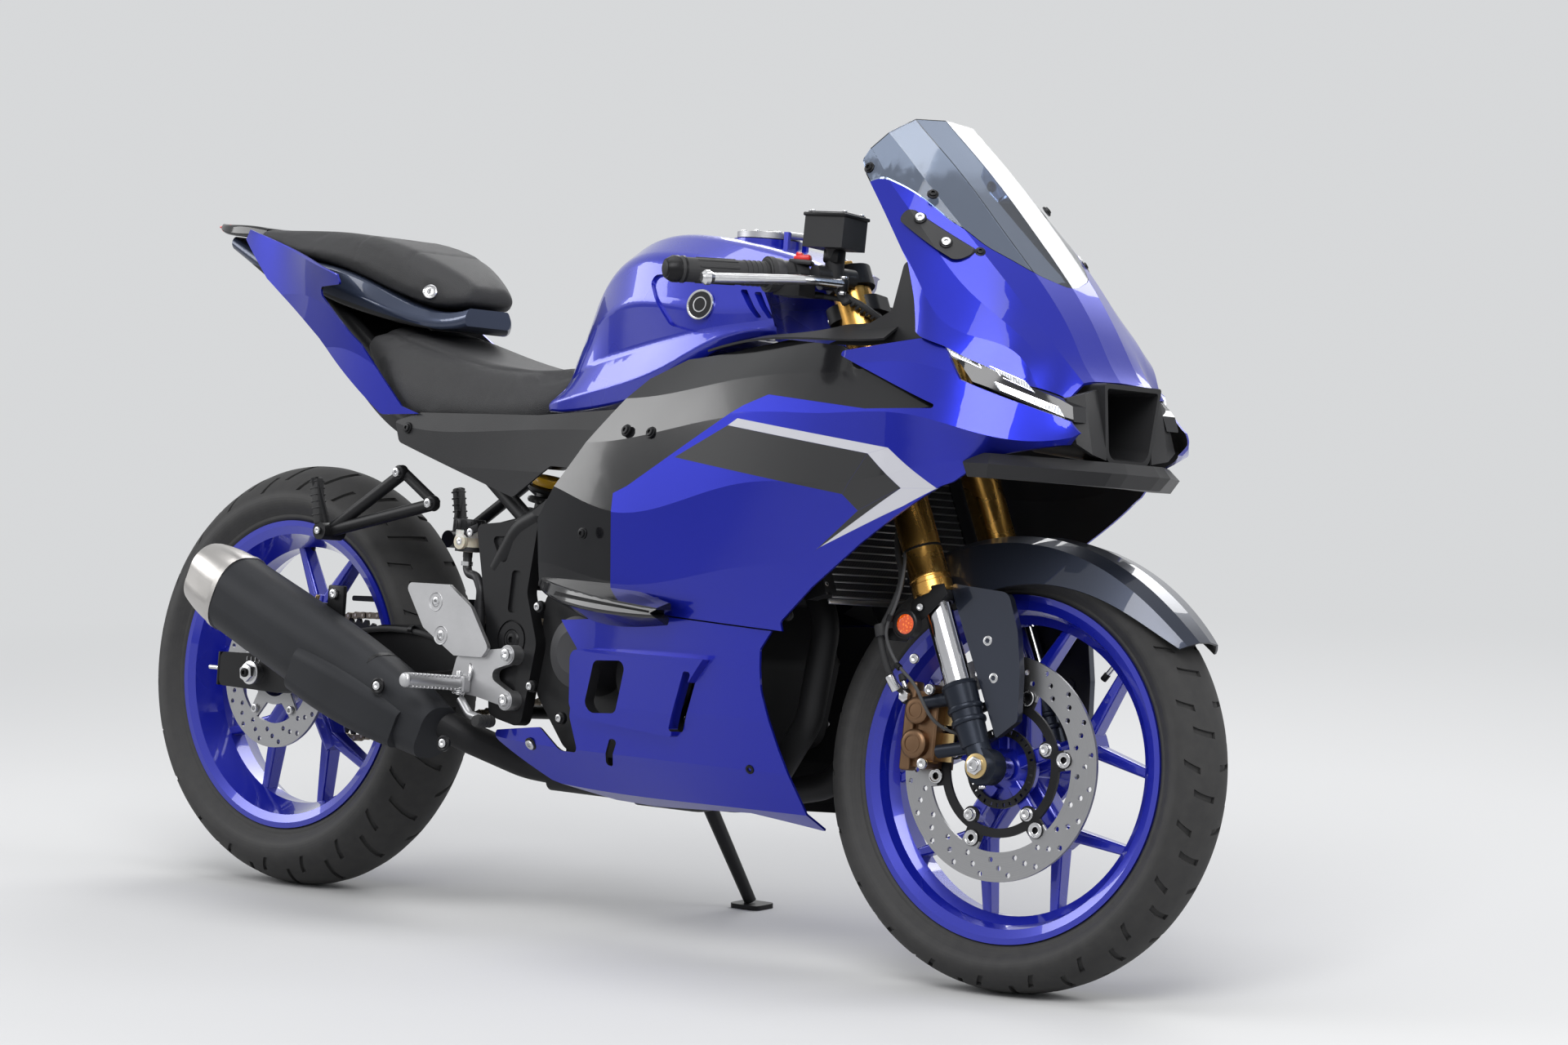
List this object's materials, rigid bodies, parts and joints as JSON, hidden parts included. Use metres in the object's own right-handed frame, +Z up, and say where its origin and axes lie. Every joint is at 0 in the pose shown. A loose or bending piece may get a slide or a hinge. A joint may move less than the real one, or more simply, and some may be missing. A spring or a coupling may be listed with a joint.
{
  "type": "sport bike",
  "caption": "Fully faired lightweight sport motorcycle with cast spoked wheels, clip-on bars and an underslung silencer, leaning on its side stand.",
  "frame": {"origin": "on the ground under the middle of the bounding box", "axes": "+X forwards along the length, +Y to the rider's left, +Z up"},
  "size_m": [1.9852, 0.695, 1.1459],
  "materials": {
    "frame": "satin black tube",
    "subframe": "satin black tube",
    "engine": "black coated casting",
    "engine_covers": "dark grey coated casting",
    "radiator": "black fins",
    "exhaust_pipes": "matte black pipe",
    "muffler": "matte black can with a blue-grey heat shield",
    "muffler_tip": "brushed end cap",
    "swingarm": "satin black",
    "rear_axle": "plated",
    "rear_shock": "black spring",
    "rear_brake": "dark caliper with a white reservoir",
    "footrest_brackets": "satin silver casting",
    "foot_pegs": "black",
    "passenger_hangers": "satin black",
    "upper_cowl": "gloss metallic blue",
    "windscreen": "lightly smoked clear",
    "tail_panels": "gloss metallic blue",
    "side_covers": "dark grey textured",
    "side_fairings": "gloss metallic blue with a white and black stripe",
    "duct_panels": "gloss black",
    "lower_cowls": "gloss metallic blue with a black scoop",
    "fuel_tank": "gloss metallic blue",
    "rider_seat": "black vinyl",
    "pillion_seat": "black vinyl",
    "undertail": "black textured",
    "tail_light": "dark red lens in black",
    "headlights": "clear lens over dark housing",
    "nose_duct": "black textured",
    "cowl_trim": "black textured",
    "instrument_panel": "black with a dark screen",
    "drive_chain": "oiled steel",
    "fork_outers": "gold anodised",
    "fork_inners": "hard chrome",
    "fork_feet": "satin black casting",
    "front_axle": "plated",
    "triple_clamps": "satin black casting",
    "handlebars": "satin black",
    "grips": "black rubber",
    "levers": "satin silver",
    "controls": "black",
    "front_fender": "gloss black",
    "front_caliper": "brown bronze",
    "reflectors": "orange reflector",
    "brake_hose": "black hose",
    "front_tyre": "black rubber",
    "front_rim": "gloss blue",
    "front_disc": "ground steel",
    "front_disc_carrier": "black",
    "speed_ring": "black steel",
    "rear_tyre": "black rubber",
    "rear_rim": "gloss blue",
    "rear_disc": "ground steel",
    "rear_sprocket": "dark steel",
    "side_stand": "satin black",
    "fuel_cap": "satin silver"
  },
  "bodies": {
    "chassis": {"frame": "frame", "subframe": "subframe", "engine": "engine", "engine_covers": "engine_covers", "radiator": "radiator", "exhaust_pipes": "exhaust_pipes", "muffler": "muffler", "muffler_tip": "muffler_tip", "swingarm": "swingarm", "rear_axle": "rear_axle", "rear_shock": "rear_shock", "rear_brake": "rear_brake", "footrest_brackets": "footrest_brackets", "foot_pegs": "foot_pegs", "passenger_hangers": "passenger_hangers", "upper_cowl": "upper_cowl", "windscreen": "windscreen", "tail_panels": "tail_panels", "side_covers": "side_covers", "side_fairings": "side_fairings", "duct_panels": "duct_panels", "lower_cowls": "lower_cowls", "fuel_tank": "fuel_tank", "rider_seat": "rider_seat", "pillion_seat": "pillion_seat", "undertail": "undertail", "tail_light": "tail_light", "headlights": "headlights", "nose_duct": "nose_duct", "cowl_trim": "cowl_trim", "instrument_panel": "instrument_panel", "drive_chain": "drive_chain"},
    "steering": {"fork_outers": "fork_outers", "fork_inners": "fork_inners", "fork_feet": "fork_feet", "front_axle": "front_axle", "triple_clamps": "triple_clamps", "handlebars": "handlebars", "grips": "grips", "levers": "levers", "controls": "controls", "front_fender": "front_fender", "front_caliper": "front_caliper", "reflectors": "reflectors", "brake_hose": "brake_hose"},
    "front_wheel": {"front_tyre": "front_tyre", "front_rim": "front_rim", "front_disc": "front_disc", "front_disc_carrier": "front_disc_carrier", "speed_ring": "speed_ring"},
    "rear_wheel": {"rear_tyre": "rear_tyre", "rear_rim": "rear_rim", "rear_disc": "rear_disc", "rear_sprocket": "rear_sprocket"},
    "side_stand": {"side_stand": "side_stand"},
    "fuel_cap": {"fuel_cap": "fuel_cap"}
  },
  "joints": [
    {"name": "steering", "type": "hinge", "parent": "chassis", "child": "steering", "pos_m": [0.45837, -0.01361, 0.71942], "axis": [-0.4224, 0.1105, 0.8996], "range_deg": [-40.5, 27.5]},
    {"name": "front_wheel_spin", "type": "hinge", "parent": "steering", "child": "front_wheel", "pos_m": [0.70116, -0.06204, 0.28992], "axis": [-0.1026, 0.9803, -0.1686], "continuous": true},
    {"name": "rear_wheel_spin", "type": "hinge", "parent": "chassis", "child": "rear_wheel", "pos_m": [-0.67861, -0.06371, 0.31166], "axis": [0, 0.9925, -0.1219], "continuous": true},
    {"name": "side_stand_fold", "type": "hinge", "parent": "chassis", "child": "side_stand", "pos_m": [-0.05795, 0.08152, 0.2465], "axis": [0.0454, 0.973, 0.2261], "range_deg": [0, 90]},
    {"name": "fuel_cap_hinge", "type": "hinge", "parent": "chassis", "child": "fuel_cap", "pos_m": [0.22852, 0.0188, 0.98343], "axis": [0, 0.9925, -0.1219], "range_deg": [0, 100]}
  ]
}
